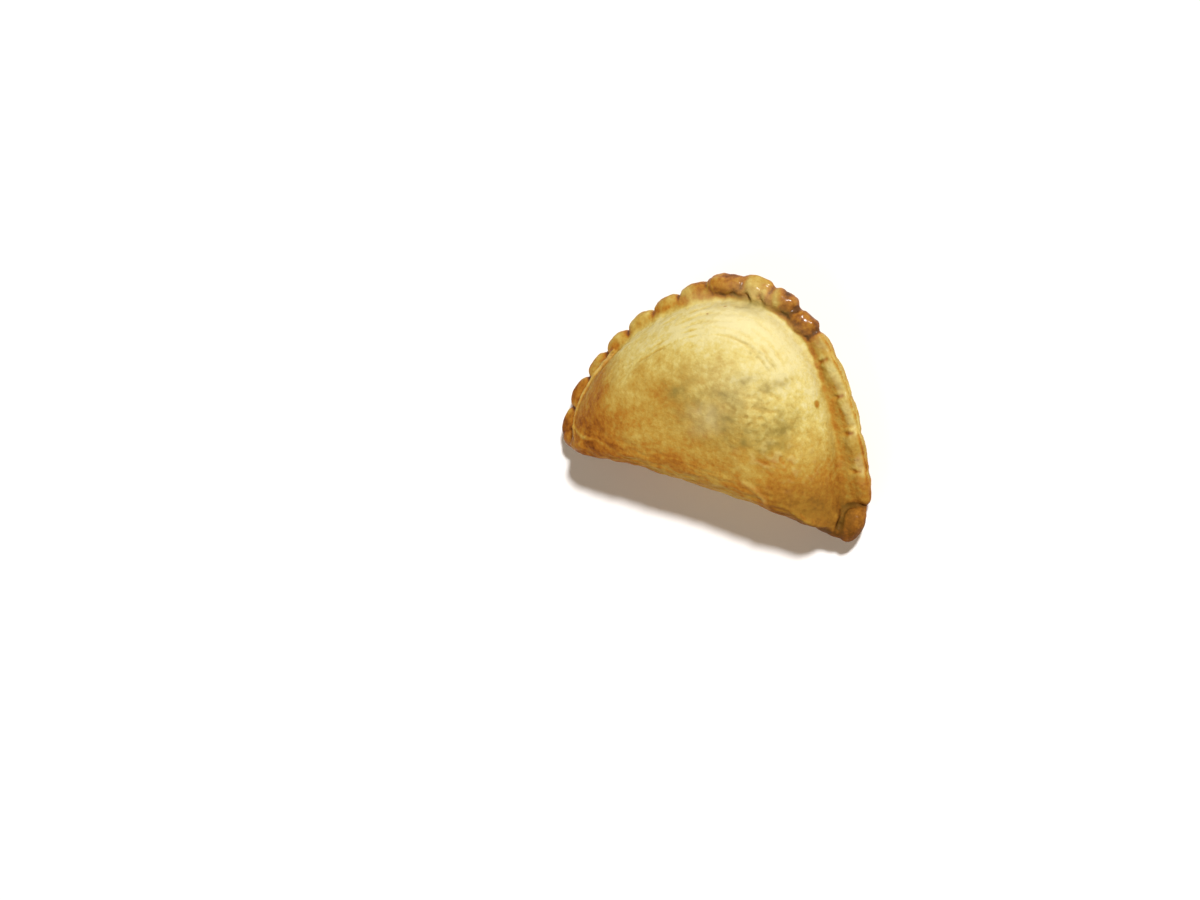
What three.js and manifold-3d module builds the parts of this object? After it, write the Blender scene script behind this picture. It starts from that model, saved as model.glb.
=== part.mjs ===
// Empanada: a half-moon of baked pastry, folded over its filling along one straight side and
// sealed round the other with a row of thumb-pressed pleats. It is whole, so it is one solid.
// Millimetres, +Z up. The fold runs along X, the pleated edge is towards +Y, and the flat baked
// base lies on Z = 0. The origin is the middle of the base of the bounding box.
import * as THREE from 'three';
import { mergeVertices } from 'three/addons/utils/BufferGeometryUtils.js';
import Module from 'manifold-3d';

// Driving dimensions
const FOLD_LENGTH = 120; // corner to corner
const DEPTH = 78; // corners to the top of the pleated edge
const HEIGHT = 38; // baked base to the crown
const WIDEST_AT = 11; // distance of the widest place from the corners
const FOLD_HOLLOW = 3; // how far the middle of the fold draws in between the corners
const APEX_LEAN = 4; // the top of the pleated edge leans this far towards +X
const RIM_WIDTH = 9.5; // pressed edge, from the foot of the filled part outwards
const RIM_WIDTH_LEFT = 6; // the same on the -X side, where it is narrower
const RIM_TOP = 12; // upper face of the pressed edge
const RIM_BOTTOM = 6; // lower face of the pressed edge, lifted off the base

// Form of the filled part
const CROWN = new THREE.Vector2(2, 0.42 * DEPTH); // the crown's place, seen from above
const CROWN_RISE = 5; // the crown above the shoulder
const END_DROP = 9; // the shoulder is this much lower at the two corners than in the middle
const FLANK = { width: 19, curve: 2.1 }; // from the foot up to the shoulder, and how boxy it is
const FLANK_LEFT = { width: 17, curve: 2 }; // the same on the -X side
const FLANK_FOLD = { width: 14, curve: 2.4 }; // the same along the fold
const ARCH_POWER = { left: 1.48, right: 1.54 }; // a larger power gives a straighter side
const CORNER_FULLNESS = 4; // squareness of the two corners
const CORNER_SHARPNESS = 0.35; // a smaller power turns the outline more sharply into the fold
const CORNER_TURN = 0.04; // share of a turn from the widest place to the corner beside it
const LEFT_FROM = -52; // the edge and flank have their -X widths from here, and blend to X = 0
const LEAST_SLANT = 0.72; // a spoke is never counted as slanting more than this
const CORNER_BLEND = [-8, 26]; // the pleated section fades into the folded one between these
const FOLD_MIDDLE = 13; // height where the fold reaches furthest out
const GROOVE_DEPTH = 2; // valley between the filled part and the pleats
const PLEAT_REACH = 2.4; // how far a pleat stands out past the notches beside it
const BASE_INSET = 6; // the base stops this far inside the foot of the filled part
const UNDERCUT = 6; // rounding of the fold's lower edge

// Swellings and hollows that the filling leaves in the pastry: place, spread and height
const SWELLINGS = [
  { x: 20, y: 40, spread: 17, height: 1.6 },
  { x: -24, y: 24, spread: 14, height: 1.1 },
  { x: 1, y: 31, spread: 10, height: -0.7 },
  { x: 6, y: 58, spread: 11, height: -0.8 },
  { x: 34, y: 18, spread: 10, height: -1.2 },
  { x: -38, y: 14, spread: 9, height: -1.0 },
];

// Fineness of the surface
const AROUND = 112;
const CROWN_RINGS = 7;
const FLANK_RINGS = 10;
const RIM_RINGS = 3;
const EDGE_RINGS = 3;
const UNDER_RINGS = 3;
const BASE_RINGS = 3;
const PLEAT_SIDES = 12;
const PLEAT_RINGS = 8;
const MERGE_WITHIN = 0.001;

const smoothstep = THREE.MathUtils.smoothstep;
const lerp = THREE.MathUtils.lerp;

// Repeatable random numbers from 0 to 1
function seededRandom(seed) {
  return () => {
    seed = (seed * 16807) % 2147483647;
    return seed / 2147483647;
  };
}

// The outer edge seen from above, anticlockwise from the widest place on the right: a leaning arch,
// the left corner, and the fold with its hollow back to the right corner
class HalfMoonOutline extends THREE.Curve {
  getPoint(t, target = new THREE.Vector3()) {
    const cosine = Math.cos(2 * Math.PI * t);
    const sine = Math.sin(2 * Math.PI * t);
    const half = FOLD_LENGTH / 2;
    if (sine >= 0) {
      const rise = sine ** (cosine > 0 ? ARCH_POWER.right : ARCH_POWER.left);
      return target.set(half * cosine + APEX_LEAN * rise * rise, lerp(WIDEST_AT, DEPTH, rise), 0);
    }
    const x = half * Math.sign(cosine) * Math.sqrt(Math.abs(cosine));
    const drop = (WIDEST_AT + CORNER_FULLNESS) * (-sine) ** CORNER_SHARPNESS;
    const hollow = (FOLD_HOLLOW + CORNER_FULLNESS) * (-sine) ** 3;
    return target.set(x, WIDEST_AT - drop + hollow, 0);
  }
}

const outline = new HalfMoonOutline();
outline.arcLengthDivisions = 2000;
const PERIMETER = outline.getLength();

// Distance along the outline from its start to the curve's own parameter t
function distanceTo(t) {
  return outline.getLengths()[Math.round(t * outline.arcLengthDivisions)];
}

// The two corners, as distances along the outline
const LEFT_CORNER = distanceTo(0.5 + CORNER_TURN);
const RIGHT_CORNER = distanceTo(1 - CORNER_TURN);

// One spoke of the half-moon at a distance along the outline: the outer edge, its outward
// direction, the slanting step towards the crown that goes 1 mm in from the edge, how much of the
// pressed edge is there (1 on the pleated side, 0 on the fold), how far it faces -X, the width of
// the pressed edge and the foot of the filled part inside it
function spokeAt(distance) {
  const wrapped = THREE.MathUtils.euclideanModulo(distance, PERIMETER);
  const edge = outline.getPointAt(wrapped / PERIMETER);
  const tangent = outline.getTangentAt(wrapped / PERIMETER);
  const outward = new THREE.Vector2(tangent.y, -tangent.x);
  const ontoFold = Math.min(wrapped - LEFT_CORNER, RIGHT_CORNER - wrapped);
  const rimShare = 1 - smoothstep(ontoFold, ...CORNER_BLEND);
  const leftShare = 1 - smoothstep(edge.x, LEFT_FROM, 0);
  const rimWidth = lerp(RIM_WIDTH, RIM_WIDTH_LEFT, leftShare);
  const outer = new THREE.Vector2(edge.x, edge.y);
  const inward = CROWN.clone().sub(outer).normalize();
  inward.divideScalar(Math.max(LEAST_SLANT, -inward.dot(outward)));
  const foot = outer.clone().addScaledVector(inward, rimWidth * rimShare);
  return { outer, outward, inward, rimShare, leftShare, rimWidth, foot };
}

// A point on the filled part, d in from its foot, which is at height low, on the spoke to that foot
function onFilled(foot, d, low, flankWidth, flankCurve) {
  const share = 1 - d / CROWN.distanceTo(foot);
  const x = lerp(CROWN.x, foot.x, share);
  const top = HEIGHT - CROWN_RISE * share ** 2 - END_DROP * (2 * x / FOLD_LENGTH) ** 2;
  const down = 1 - Math.min(1, d / flankWidth);
  const rise = (1 - down ** flankCurve) ** (1 / flankCurve);
  return towards(foot, share, lerp(low, top, rise));
}

function swellingAt(x, y) {
  return SWELLINGS.reduce((sum, s) => {
    const away = ((x - s.x) ** 2 + (y - s.y) ** 2) / s.spread ** 2;
    return sum + s.height * Math.exp(-away);
  }, 0);
}

// A surface point at a distance in from the outer edge (inset) along the spoke, at height z
function onSpoke(spoke, inset, z) {
  const place = spoke.outer.clone().addScaledVector(spoke.inward, inset);
  return new THREE.Vector3(place.x, place.y, z);
}

// A surface point at a share of the way from the crown out to a rim point, at height z
function towards(rimPoint, share, z) {
  const place = CROWN.clone().lerp(rimPoint, share);
  return new THREE.Vector3(place.x, place.y, z);
}

// The section along one spoke, from the crown over the edge and under to the middle of the base.
// Pleated and folded sections have the same number of points, so a corner can blend the two.
function sectionAt(spoke) {
  const pleated = [];
  const folded = [];
  const groove = RIM_TOP - GROOVE_DEPTH;
  const width = lerp(FLANK.width, FLANK_LEFT.width, spoke.leftShare);
  const curve = lerp(FLANK.curve, FLANK_LEFT.curve, spoke.leftShare);
  const baseInset = spoke.rimWidth + BASE_INSET;
  const addFilled = (section, foot, low, flankWidth, flankCurve, i) => {
    const onCrown = i <= CROWN_RINGS;
    const share = onCrown ? i / CROWN_RINGS : (i - CROWN_RINGS) / FLANK_RINGS;
    const d = onCrown ? lerp(CROWN.distanceTo(foot), flankWidth, share) : flankWidth * (1 - share) ** 1.5;
    section.push(onFilled(foot, d, low, flankWidth, flankCurve));
  };
  for (let i = 0; i <= CROWN_RINGS + FLANK_RINGS; i++) {
    addFilled(pleated, spoke.foot, groove, width, curve, i);
    addFilled(folded, spoke.outer, FOLD_MIDDLE, FLANK_FOLD.width, FLANK_FOLD.curve, i);
  }
  for (let i = 1; i <= RIM_RINGS; i++) {
    const share = i / RIM_RINGS;
    const inset = lerp(spoke.rimWidth, PLEAT_REACH + 1, share);
    pleated.push(onSpoke(spoke, inset, groove + GROOVE_DEPTH * Math.sqrt(share)));
    folded.push(onSpoke(spoke, 0, FOLD_MIDDLE - share));
  }
  for (let i = 1; i <= EDGE_RINGS; i++) {
    const turn = (Math.PI * i) / EDGE_RINGS;
    const inset = PLEAT_REACH + 1 - Math.sin(turn);
    const middle = (RIM_TOP + RIM_BOTTOM) / 2;
    pleated.push(onSpoke(spoke, inset, middle + (RIM_TOP - middle) * Math.cos(turn)));
    folded.push(onSpoke(spoke, 0, FOLD_MIDDLE - 1 - i));
  }
  const low = FOLD_MIDDLE - 1 - EDGE_RINGS;
  for (let i = 1; i <= UNDER_RINGS; i++) {
    const turn = (0.5 * Math.PI * i) / UNDER_RINGS;
    const inset = lerp(PLEAT_REACH + 1, baseInset, Math.sin(turn));
    pleated.push(onSpoke(spoke, inset, RIM_BOTTOM * Math.cos(turn)));
    folded.push(onSpoke(spoke, UNDERCUT * (1 - Math.cos(turn)), low * (1 - Math.sin(turn))));
  }
  const pleatedBase = onSpoke(spoke, baseInset, 0);
  const foldedBase = onSpoke(spoke, UNDERCUT, 0);
  for (let i = 1; i <= BASE_RINGS; i++) {
    const share = 1 - i / BASE_RINGS;
    pleated.push(towards(pleatedBase, share, 0));
    folded.push(towards(foldedBase, share, 0));
  }
  return folded.map((point, i) => point.lerp(pleated[i], spoke.rimShare));
}

// The filled half-moon with its plain pressed edge: a sphere's rings, each laid along the sections
function filledHalfMoon() {
  const rings = CROWN_RINGS + FLANK_RINGS + RIM_RINGS + EDGE_RINGS + UNDER_RINGS + BASE_RINGS;
  const geometry = new THREE.SphereGeometry(1, AROUND, rings);
  const position = geometry.getAttribute('position');
  for (let column = 0; column <= AROUND; column++) {
    const section = sectionAt(spokeAt((PERIMETER * column) / AROUND));
    section.forEach((point, row) => {
      const fade = 1 - smoothstep(row, CROWN_RINGS, CROWN_RINGS + FLANK_RINGS);
      const z = point.z + fade * swellingAt(point.x, point.y);
      position.setXYZ(row * (AROUND + 1) + column, point.x, point.y, z);
    });
  }
  return geometry;
}

// Notches between the pleats, as distances along the outline from the widest place on the right:
// the thumb pressed them by eye, so the gaps differ
const NOTCHES = [
  -1.5, 11.2, 25.2, 40.7, 54.3, 65.4, 76.4, 88.3, 100, 112.7, 127.3, 139.4, 152.5, 164.5, 177, 190.5, 203,
];

// Kinds of pleat, from the right corner over the top to the left one: flat pads, two turned like a
// rope's strands, a knob on each side of a pinched place, and plain lobes. The half length is a share
// of the gap between two notches, the other half sizes and the inset from the outline are in millimetres.
const PAD = { length: 0.66, width: 3.6, height: 3.2, inset: 5, z: 9.8, twist: 0.05 };
const ROPE = { length: 0.64, width: 3.6, height: 3.8, inset: 4.4, z: 9.6, twist: 0.4 };
const KNOB = { length: 0.6, width: 3.8, height: 4.2, inset: 4, z: 9.4, twist: 0 };
const PINCHED = { length: 0.62, width: 3, height: 3, inset: 3.4, z: 8.6, twist: 0 };
const LOBE = { length: 0.56, width: 4, height: 3.2, inset: 4.4, z: 9, twist: 0 };
const LOBES = 7;
const PLEATS = [PAD, PAD, PAD, PAD, ROPE, ROPE, KNOB, PINCHED, KNOB, ...Array(LOBES).fill(LOBE)];
const PLEAT_UNEVENNESS = 0.08;

// A flattened ball of pastry with its half sizes, heading and middle
function pressedBall(sizes, heading, middle) {
  const geometry = new THREE.SphereGeometry(1, PLEAT_SIDES, PLEAT_RINGS);
  geometry.scale(...sizes);
  geometry.rotateZ(heading);
  geometry.translate(...middle);
  return geometry;
}

function pleatGeometry(kind, index, random) {
  const gap = NOTCHES[index + 1] - NOTCHES[index];
  const spoke = spokeAt(NOTCHES[index] + gap / 2);
  const vary = () => 1 + PLEAT_UNEVENNESS * (2 * random() - 1);
  const sizes = [kind.length * gap * vary(), kind.width * vary(), kind.height * vary()];
  const along = Math.atan2(spoke.outward.x, -spoke.outward.y);
  return pressedBall(sizes, along + kind.twist, onSpoke(spoke, kind.inset, kind.z));
}

// Petals of dough pinched up at the top of the edge, and the ball of dough at the right corner
const PETAL_SIZES = [3.2, 1.5, 2.2];
const PETALS = [
  { middle: [-4.6, 73.4, 12], heading: -0.7 },
  { middle: [-0.2, 73, 12], heading: -1.25 },
  { middle: [4.2, 73.6, 12.4], heading: -1.75 },
  { middle: [7.2, 72.4, 12], heading: -1.1 },
  { middle: [9.8, 73.2, 12], heading: -0.8 },
];
const CORNER_BALL = { sizes: [4.4, 6.8, 4.8], heading: -0.2, middle: [53, 3.8, 8.8] };

const wasm = await Module();
wasm.setup();

function toSolid(geometry) {
  geometry.deleteAttribute('normal');
  geometry.deleteAttribute('uv');
  const merged = mergeVertices(geometry, MERGE_WITHIN);
  return new wasm.Manifold(new wasm.Mesh({
    numProp: 3,
    vertProperties: merged.getAttribute('position').array,
    triVerts: new Uint32Array(merged.index.array),
  }));
}

function toGeometry(solid) {
  const mesh = solid.getMesh();
  const geometry = new THREE.BufferGeometry();
  geometry.setAttribute('position', new THREE.BufferAttribute(mesh.vertProperties, 3));
  geometry.setIndex(new THREE.BufferAttribute(mesh.triVerts, 1));
  geometry.computeVertexNormals();
  return geometry;
}

function bakedEmpanada() {
  const random = seededRandom(2718);
  const pleats = PLEATS.map((kind, index) => pleatGeometry(kind, index, random));
  const petals = PETALS.map(({ middle, heading }) => pressedBall(PETAL_SIZES, heading, middle));
  const ball = pressedBall(CORNER_BALL.sizes, CORNER_BALL.heading, CORNER_BALL.middle);
  const pastry = [...pleats, ...petals, ball].map(toSolid).reduce(
    (joined, piece) => joined.add(piece),
    toSolid(filledHalfMoon()),
  );
  // The outer skin alone: pockets closed in under the pleats are filled with pastry
  const [skin] = pastry.decompose().sort((a, b) => b.volume() - a.volume());
  return toGeometry(skin);
}

const crust = new THREE.MeshStandardMaterial({ color: '#d9a950', roughness: 0.55, metalness: 0 });
const empanada = new THREE.Mesh(bakedEmpanada(), crust);
empanada.name = 'empanada';

// Stand the bounding box's base middle on the origin
empanada.geometry.computeBoundingBox();
const middle = empanada.geometry.boundingBox.getCenter(new THREE.Vector3());
empanada.position.set(-middle.x, -middle.y, -empanada.geometry.boundingBox.min.z);

const part = new THREE.Group();
part.add(empanada);

export default part;
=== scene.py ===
import math
import random
from collections import namedtuple

import bpy
import numpy as np
from mathutils import Matrix, Vector, noise


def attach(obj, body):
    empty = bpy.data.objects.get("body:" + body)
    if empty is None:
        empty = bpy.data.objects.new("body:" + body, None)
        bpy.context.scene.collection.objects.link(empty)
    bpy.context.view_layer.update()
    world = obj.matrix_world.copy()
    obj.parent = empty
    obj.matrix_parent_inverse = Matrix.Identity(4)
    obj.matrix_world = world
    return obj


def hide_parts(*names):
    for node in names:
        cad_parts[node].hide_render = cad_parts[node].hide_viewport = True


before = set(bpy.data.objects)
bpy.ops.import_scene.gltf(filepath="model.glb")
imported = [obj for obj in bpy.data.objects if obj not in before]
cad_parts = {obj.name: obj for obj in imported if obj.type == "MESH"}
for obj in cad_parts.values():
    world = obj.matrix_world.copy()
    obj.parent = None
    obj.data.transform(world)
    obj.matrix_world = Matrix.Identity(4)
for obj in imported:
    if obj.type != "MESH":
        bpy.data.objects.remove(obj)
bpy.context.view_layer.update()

MM = 0.001
BENCH_TO_FRAME = np.array([1.10, -37.44, 0.0])

# The half-moon
FOLD_LENGTH = 120.0  # corner to corner
DEPTH = 78.0  # corners to the top of the pleated edge
HEIGHT = 38.0  # baked base to the crown
FOLD_HOLLOW = 3.2  # how far the middle of the fold draws in between the corners
APEX_LEAN = 4.0  # the top of the pleated edge leans this far towards +X
RIGHT_CORNER = 0.0  # the corners' places along the edge
LEFT_CORNER = 207.0
CORNER_BLEND = (2.0, 14.0)  # the pressed edge runs in under the fold between these, past the corners
CROWN = np.array([2.0, 0.42 * DEPTH])  # the crown's place, seen from above

# One side of a half-moon's outline: its half length, the straightness of its arch, the distance of its
# widest place from the corners, and the sharpness and fullness of its corner
Side = namedtuple("Side", "half straightness widest sharpness fullness")
EDGE_RIGHT = Side(FOLD_LENGTH / 2, 1.54, 11.0, 0.35, 4.0)
EDGE_LEFT = Side(FOLD_LENGTH / 2, 1.48, 11.0, 0.35, 4.0)
FOOT_RIGHT = Side(49.5, 1.46, 2.0, 0.22, -1.8)
FOOT_LEFT = Side(54.0, 1.42, 11.0, 0.40, 3.3)
OUTLINE_POINTS = 6001

# The filled part
FOOT_DEPTH = 68.5  # corners to the top of its foot
FOOT_HEIGHT = 9.6  # the foot's height, inside the pressed edge
CROWN_RISE = 5.0  # the crown above the shoulder
END_DROP = 9.0  # the shoulder is this much lower at the two corners than in the middle
FLANK = (19.0, 2.1)  # width from the foot up to the shoulder, and how boxy it is
FLANK_LEFT = (17.0, 2.0)
FLANK_FOLD = (14.0, 2.4)
FLANK_LEFT_ENDS = (-52.0, 0.0)  # the left flank passes into the others between these X
FOLD_TURN = (0.2, 0.95)  # the fold's flank sets in as the foot turns towards the front by these shares
FOLD_MIDDLE = 13.0  # height where the fold reaches furthest out
UNDERCUT = 6.0  # the base stops this far inside the foot

# Swellings and hollows that the filling leaves in the pastry: x, y, spread, height
SWELLINGS = [
    (20, 40, 17, 1.6),
    (-24, 24, 14, 1.1),
    (1, 31, 10, -0.7),
    (6, 58, 11, -0.8),
    (34, 18, 10, -0.3),
    (-38, 14, 9, -1.0),
]

# Rows of the modelled skin, from the crown at 0 to the middle of the base at 1
ROW_SHOULDER = 0.36
ROW_FOOT = 0.72
ROW_UNDER = 0.86
ROW_CROWDING = 1.5  # the flank's rows crowd towards the foot
AROUND = 420
RINGS = 150

# The pressed edge: place along it, width from the foot of the filled part, upper face, depth of the valley
# inside the pleats, how far its outer sheet stays inside the pleats and the upper face of that sheet
RIM = [
    (-9.0, 10.5, 10.4, 0.4, 4.0, 8.4),
    (2.0, 10.5, 10.6, 0.4, 2.6, 8.4),
    (10.0, 10.5, 10.6, 0.4, 1.6, 8.4),
    (48.0, 10.2, 10.8, 0.4, 1.6, 8.6),
    (62.0, 9.8, 11.0, 0.2, 1.6, 9.2),
    (68.0, 9.8, 11.4, 0.1, 2.8, 10.2),
    (84.0, 9.5, 11.4, 0.1, 3.4, 10.2),
    (108.0, 9.0, 11.6, 0.2, 1.4, 10.8),
    (122.0, 8.5, 12.8, 0.2, 1.0, 12.4),
    (140.0, 7.0, 12.8, 0.1, 1.2, 12.4),
    (160.0, 5.8, 12.4, 0.0, 0.8, 12.0),
    (180.0, 5.5, 11.6, 0.0, 0.2, 11.2),
    (205.0, 5.5, 11.0, 0.0, -0.6, 10.6),
]
RIM_BOTTOM = 6.0
RIM_SIDES = 48
RIM_ROOT = 5.0  # the pressed edge reaches this far into the filled part
SHEET_MARGIN = 3.6  # least distance from the sheet's outer side to the valley's inner side
HIDDEN_INSET = 9.0  # along the fold the pressed edge is this far inside
# Round outer side of the sheet: turn in the section, step in from the side, share of its half height
SHEET_ROUND = [(0.0, 0.0, 0.0), (0.3, 0.25, 0.45), (0.6, 0.9, 0.8), (0.9, 1.9, 0.96)]
# Depth of the notches between the sheet's lobes, at places along the edge
LOBE_DEPTHS = [(-8.0, 0.0), (-3.0, 1.6), (58.0, 1.3), (66.0, 0.0), (104.0, 0.0), (114.0, 2.7)]
LOBE_CROWN = 0.45  # rise of a lobe's middle above its notches, for each millimetre of depth
LOBE_END = 0.98  # a lobe's arc stops at this share of its half length

# Notches between the pleats, as places along the edge
NOTCHES = np.array([-16.5, 2.4, 13.6, 27.6, 41.2, 55.2, 65.4, 76.4, 88.3, 100.0,
                    112.7, 127.3, 139.4, 152.5, 164.5, 177.0, 191.0, 209.5])

# Kinds of pleat: half length as a share of the gap between notches, half width, half height,
# inset from the edge, height of the middle, turn against the edge and lift of its far end, in radians
Pleat = namedtuple("Pleat", "length width height inset level twist lift")
PLEAT_KINDS = {
    "pad": Pleat(0.64, 2.8, 2.4, 4.4, 9.2, 0.04, 0.12),
    "rope": Pleat(0.60, 4.2, 3.4, 5.0, 9.6, 0.36, 0.08),
    "coil": Pleat(0.61, 4.4, 3.8, 4.5, 9.4, 0.20, 0.05),
    "knob": Pleat(0.60, 3.6, 4.6, 3.6, 9.4, 0.0, 0.0),
    "torn": Pleat(0.62, 3.0, 3.0, 3.0, 8.4, 0.0, 0.0),
}
PLEAT_ORDER = ["pad"] * 5 + ["rope", "coil", "torn", "knob"]
PLEAT_SIZE_CHANCE = (0.94, 1.06)
PLEAT_LEVEL_CHANCE = (-0.3, 0.3)
PLEAT_SEED = 2718
FLAT_BOXINESS = 0.35
ROUND_BOXINESS = 0.08
# A pleat's far half is pressed wider and its near half slimmer from each of these distances outwards
PLEAT_STEPS = (0.1, 0.3, 0.5, 0.7)
PLEAT_WIDER = (1, 1.05, 1.05)
PLEAT_SLIMMER = (1, 0.97, 0.97)
PLEAT_FLAT_BELOW = -0.05  # below this height it is pressed flatter
PLEAT_FLATTER = (1, 1, 0.75)
PLEAT_AROUND = 32
PLEAT_RINGS = 20

# Petals of dough pinched up at the top of the edge: middle, half sizes and turn
PETALS = [
    ((-3.4, 73.0, 11.2), (4.0, 2.3, 1.9), -0.5),
    ((2.0, 73.8, 11.2), (3.8, 2.8, 2.3), -0.2),
    ((3.0, 71.8, 12.2), (3.5, 1.5, 1.8), -1.1),
    ((7.4, 73.0, 11.2), (3.4, 2.4, 2.2), -0.6),
    ((8.4, 71.0, 11.8), (3.5, 1.5, 1.7), -0.9),
]
# The ball at the right corner, the two lumps that join it to the fold and the tuck at the left corner
CORNER_PIECES = [
    ((52.3, 3.6, 9.2), (5.2, 6.8, 4.8), -0.2),
    ((44.0, 4.4, 10.5), (7.0, 5.2, 7.6), -0.2),
    ((47.6, 1.4, 9.4), (4.8, 3.8, 5.4), -0.2),
    ((-53.4, 1.8, 8.8), (5.6, 4.2, 4.2), 0.35),
]

# The lip of the upper sheet, down the left side to the corner
LIP = [(-44.2, 38.0, 12.8), (-46.8, 33.0, 13.2), (-49.3, 27.2, 14.4), (-50.5, 21.6, 16.8),
       (-50.5, 16.4, 19.8), (-49.5, 11.4, 22.4), (-47.0, 7.6, 25.0), (-44.8, 5.6, 26.4)]
LIP_THICKNESS = 0.8
LIP_DEPTH = 2.2

# The skin that joins all these, and how it is softened
VOXEL = 0.49
SKIN_SMOOTHING = {"factor": 0.5, "iterations": 4}
BASE_FACING = -0.9999  # faces that point down this straight, below this height, are the base
BASE_LEVEL = 0.2
BASE_BEND = 1  # degrees that the base's faces may differ by
SOFTENING_ROUNDS = 60
SOFTENING_STEP = 0.5
SOFT_HEIGHTS = (8.0, 10.0, 20.0, 26.0)
# The foot of the flank on the upper left, the right and at the top: stretch along the edge, band of
# insets and strength
SOFT_FEET = [
    ((104, 114, 146, 160), (3.0, 5.0, 11.0, 14.0), 1.0),
    ((-6, 0, 60, 66), (4.8, 6.0, 11.0, 14.0), 0.4),
    ((50, 56, 104, 112), (6.8, 7.8, 12.0, 14.0), 0.7),
]
# Where the ball, the lumps and the fold run into each other: middle, reach, limit in X and strength
CORNER_JOIN = (46.5, 4.0, 14.0)
CORNER_JOIN_REACH = (9.0, 14.0)
CORNER_JOIN_LIMIT = (48.6, 50.6)
CORNER_JOIN_STRENGTH = 0.6

# Stretches of the edge: where they start, are full, fade and end
PLEATED = (-20, -12, 208, 214)
TORN = (58, 66, 104, 112)
ROPES = (62, 68, 86, 92)
BROWN_ROPES = (60, 67, 84, 90)
OUTER_CREASE_SHADE_SPAN = (6, 12, 58, 64)  # painted shade along the crease near the outer side of the pads
STRETCHED = (52, 66, 140, 156)  # the flank's stretch lines
PALE_FLANK = (18, 42, 150, 172)
FLOURY_FLANK = (48, 62, 96, 110)
# Where a stretch sets in or ends, and between which places it does
PADS_END = (58, 66)
VALLEY_END = (84, 90)
SMOOTH_LOBES = (170, 190)  # the last lobes are smoother
FIRST_NOTCH = (5, 9)  # the corner ball hides the notches before this

# Oval places with a pattern of their own: x, y, half length, half width
CRINKLED_PLACE = (19.5, 38, 11, 11)
FLAKY_PLACE = (31, 26, 12, 8)
LAYERED_PLACE = (-50, 0, 5, 4)

# Lines on the crust, each through a few places
CRACKS = [
    [(5.8, 61.1, 29.7), (11.3, 60.1, 29.1), (16.4, 58.2, 28.0), (21.4, 55.1, 26.8), (25.7, 51.1, 25.6),
     (28.1, 49.4, 24.1)],
    [(11.1, 58.9, 30.5), (17.4, 56.3, 29.3), (22.1, 52.8, 28.3)],
]
FOLD_LINE = [(-50.5, 11.5, 22.0), (-46.5, 10.6, 26.6), (-42.8, 10.1, 29.3), (-37.0, 11.4, 32.0),
             (-31.0, 11.6, 33.8)]
TUCK = [(19.5, 15.5, 35.2), (24.0, 14.6, 34.8), (26.6, 13.0, 34.2), (28.2, 11.0, 33.1), (29.4, 8.6, 31.6),
        (30.2, 6.0, 28.6)]
BALL_CREASE = [(54.0, 10.8, 9.7), (51.0, 9.6, 10.8), (50.2, 7.6, 12.3), (50.4, 4.6, 13.6), (50.3, 1.4, 14.0)]
LONG_FLAKE = [(25.1, 20.8, 35.4), (27.7, 22.9, 34.5), (31.3, 21.8, 33.0), (35.7, 21.6, 30.9),
              (39.0, 22.6, 27.9)]
SHORT_FLAKE = [(22.8, 26.9, 36.4), (29.0, 24.6, 34.1), (35.2, 23.6, 30.8)]
PALE_RIDGE = [(1.5, 41.1, 37.9), (3.6, 36.4, 38.0), (5.7, 31.6, 38.0), (8.5, 26.3, 37.8)]
LINE_FADE = 3.0  # a line fades out over this length at both ends
# Ridges: line, height, width and length over which it fades
RIDGES = [
    (FOLD_LINE, 0.8, 0.6, 5.0),
    (TUCK, 0.7, 0.9, LINE_FADE),
    (LONG_FLAKE, 0.16, 0.7, LINE_FADE),
    (SHORT_FLAKE, 0.16, 0.7, LINE_FADE),
    (PALE_RIDGE, 0.4, 2.0, LINE_FADE),
]
CRACK_DEPTH = 0.28
CRACK_WIDTH = 0.45
BALL_CREASE_DEPTH = 0.9
BALL_CREASE_WIDTH = 0.9
BALL_CREASE_FADE = 2.0
STRETCH_LINES = [9.8, 11.4, 13.0, 14.8, 16.8]  # insets of the fine lines round the top of the flank
STRETCH_WIDTH = 0.4
STRETCH_DEPTH = 0.36

# Notches: depth between lobes, between pads and on the outer side of the rope-like pleats
LOBE_NOTCH = 0.4
PAD_NOTCH = 0.7
NOTCH_WIDTH = 0.75
ROPE_NOTCH = 0.8
ROPE_NOTCH_WIDTH = 1.6

# How lines and patches wander: reach, size of the bends and seeds
LOOSE = (0.7, 5, (1, 2, 3))
JAGGED = (1.1, 2.4, (31, 32, 33))
# Relief sets in between these heights above the base, and the rim's relief ends between these insets
RELIEF_HEIGHTS = (1.0, 5.0)
RIM_INSETS = (7.0, 9.0)

# Uneven bumps: size, seed and height
SKIN_BUMPS = [(13, 4, 0.35), (5, 5, 0.2), (1.8, 6, 0.08)]
FOLD_BUMPS = [(12, 10, 0.8), (4, 13, 0.15)]
RIM_BUMPS = [(2.6, 11, 0.20), (1.3, 12, 0.10)]
ROPE_BUMPS = [(3.4, 18, 0.4)]
FLAKE_HEIGHT = 0.22
CRINKLE_DEPTH = 0.45
STREAK_HEIGHT = 0.5
# Layers of pastry that show at the left corner
LAYER_HEIGHT = 0.18
LAYER_SPACING = 2.4

# Browning, from pale dough at 0 to dark at 1. Up the face from the fold on the left and on the right, by Y
LEFT_BAKE = [(8, 0.66), (15, 0.58), (22, 0.48), (30, 0.42), (38, 0.36), (46, 0.28), (54, 0.16), (62, 0.10)]
RIGHT_BAKE = [(8, 0.72), (16, 0.68), (22, 0.54), (28, 0.38), (34, 0.27), (46, 0.16), (60, 0.08)]
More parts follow.
